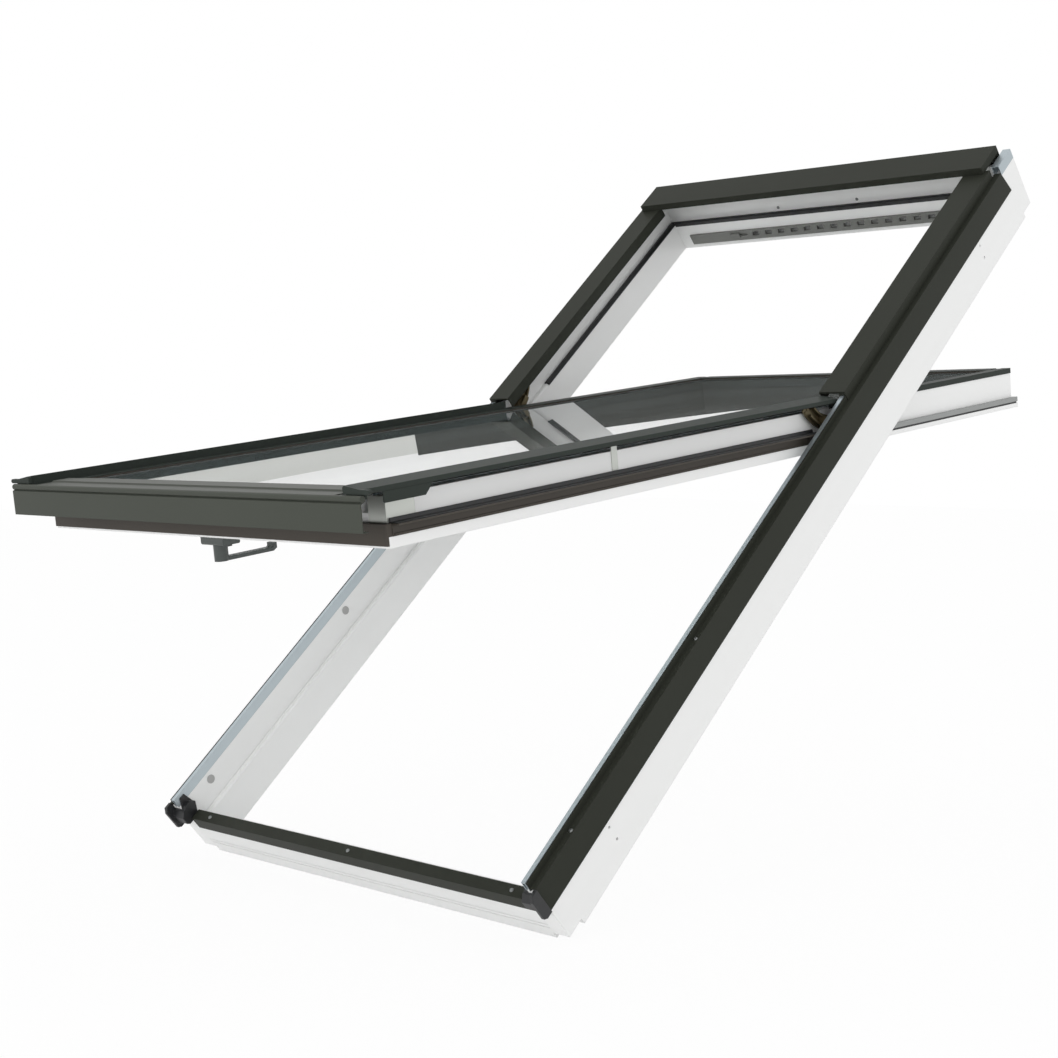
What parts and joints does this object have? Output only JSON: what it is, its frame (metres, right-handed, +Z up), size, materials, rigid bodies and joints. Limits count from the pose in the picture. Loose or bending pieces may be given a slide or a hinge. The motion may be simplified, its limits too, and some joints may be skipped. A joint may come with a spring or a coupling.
{
  "type": "pivot roof window",
  "caption": "Roof skylight, a raised-axis pivot window: white timber frame, dark metal covers and a glazed sash swung open on curved-track hinges.",
  "frame": {"origin": "middle of the sill's room-side face, at the foot of the frame", "axes": "+X across the window to the right as seen from outside, +Y level and into the roof, +Z up; the frame lies at the roof's pitch of 41.1 degrees about X"},
  "size_m": [0.788, 1.5739, 1.1487],
  "materials": {
    "white_timber": "white-painted, satin",
    "dark_cover": "powder-coated, matt dark grey",
    "bare_metal": "mill finish",
    "black_plastic": "matt",
    "rubber_seal": "matt",
    "hinge_metal": "yellow-passivated steel",
    "grille_grey": "satin grey",
    "glass": "clear",
    "handle_grey": "satin grey",
    "screw_steel": "zinc-plated"
  },
  "bodies": {
    "frame": {"frame_head": "white_timber", "frame_sill": "white_timber", "frame_jamb_left": "white_timber", "frame_jamb_right": "white_timber", "head_cover": "dark_cover", "upper_cover_left": "dark_cover", "upper_cover_right": "dark_cover", "side_profile_left": "dark_cover", "side_profile_right": "dark_cover", "upstand_left": "bare_metal", "upstand_right": "bare_metal", "corner_piece_left": "bare_metal", "corner_piece_right": "bare_metal", "sill_cover": "dark_cover", "corner_cap_left": "black_plastic", "corner_cap_right": "black_plastic", "frame_seal": "rubber_seal", "vent_grille": "grille_grey", "jamb_plugs": "grille_grey", "cover_screws": "screw_steel", "lock_keeper": "bare_metal", "hinge_rail_left": "hinge_metal", "hinge_rail_right": "hinge_metal"},
    "sash": {"sash_top_rail": "white_timber", "sash_bottom_rail": "white_timber", "sash_stile_left": "white_timber", "sash_stile_right": "white_timber", "sash_side_cover_left": "dark_cover", "sash_side_cover_right": "dark_cover", "sash_upper_cover_left": "dark_cover", "sash_upper_cover_right": "dark_cover", "sash_bottom_cover": "dark_cover", "sash_top_cover": "dark_cover", "cover_end_cap_left": "dark_cover", "cover_end_cap_right": "dark_cover", "pane_spacer": "bare_metal", "cover_clip_left": "bare_metal", "cover_clip_right": "bare_metal", "sash_upper_trim": "bare_metal", "sash_corner_left": "bare_metal", "sash_corner_right": "bare_metal", "sash_lower_seal": "rubber_seal", "sash_upper_seal": "rubber_seal", "glazing_seat": "rubber_seal", "glazing_seal": "rubber_seal", "hinge_shoe_left": "hinge_metal", "hinge_shoe_right": "hinge_metal", "inner_pane": "glass", "outer_pane": "glass", "handle_base": "handle_grey"},
    "link_left": {"hinge_link_left": "hinge_metal"},
    "link_right": {"hinge_link_right": "hinge_metal"},
    "vent": {"vent_slider": "grille_grey"},
    "handle": {"handle_lever": "handle_grey"}
  },
  "joints": [
    {"name": "sash_pivot", "type": "hinge", "parent": "frame", "child": "sash", "pos_m": [0, 0.61636, 0.75001], "axis": [-1, 0, 0], "range_deg": [-34.3, 105.7]},
    {"name": "link_left_turn", "type": "hinge", "parent": "frame", "child": "link_left", "pos_m": [-0.364, 0.61636, 0.75001], "axis": [-1, 0, 0], "range_deg": [-17.15, 52.85]},
    {"name": "link_right_turn", "type": "hinge", "parent": "frame", "child": "link_right", "pos_m": [0.364, 0.61636, 0.75001], "axis": [-1, 0, 0], "range_deg": [-17.15, 52.85]},
    {"name": "handle_turn", "type": "hinge", "parent": "sash", "child": "handle", "pos_m": [0, -0.27472, 0.50347], "axis": [0, -0.1184, 0.993], "range_deg": [0, 90]},
    {"name": "vent_slide", "type": "slide", "parent": "frame", "child": "vent", "axis": [1, 0, 0], "range_m": [0, 0.015]}
  ],
  "couplings": [
    {"joint": "link_left_turn", "follows": "sash_pivot", "ratio": 0.5},
    {"joint": "link_right_turn", "follows": "sash_pivot", "ratio": 0.5}
  ]
}
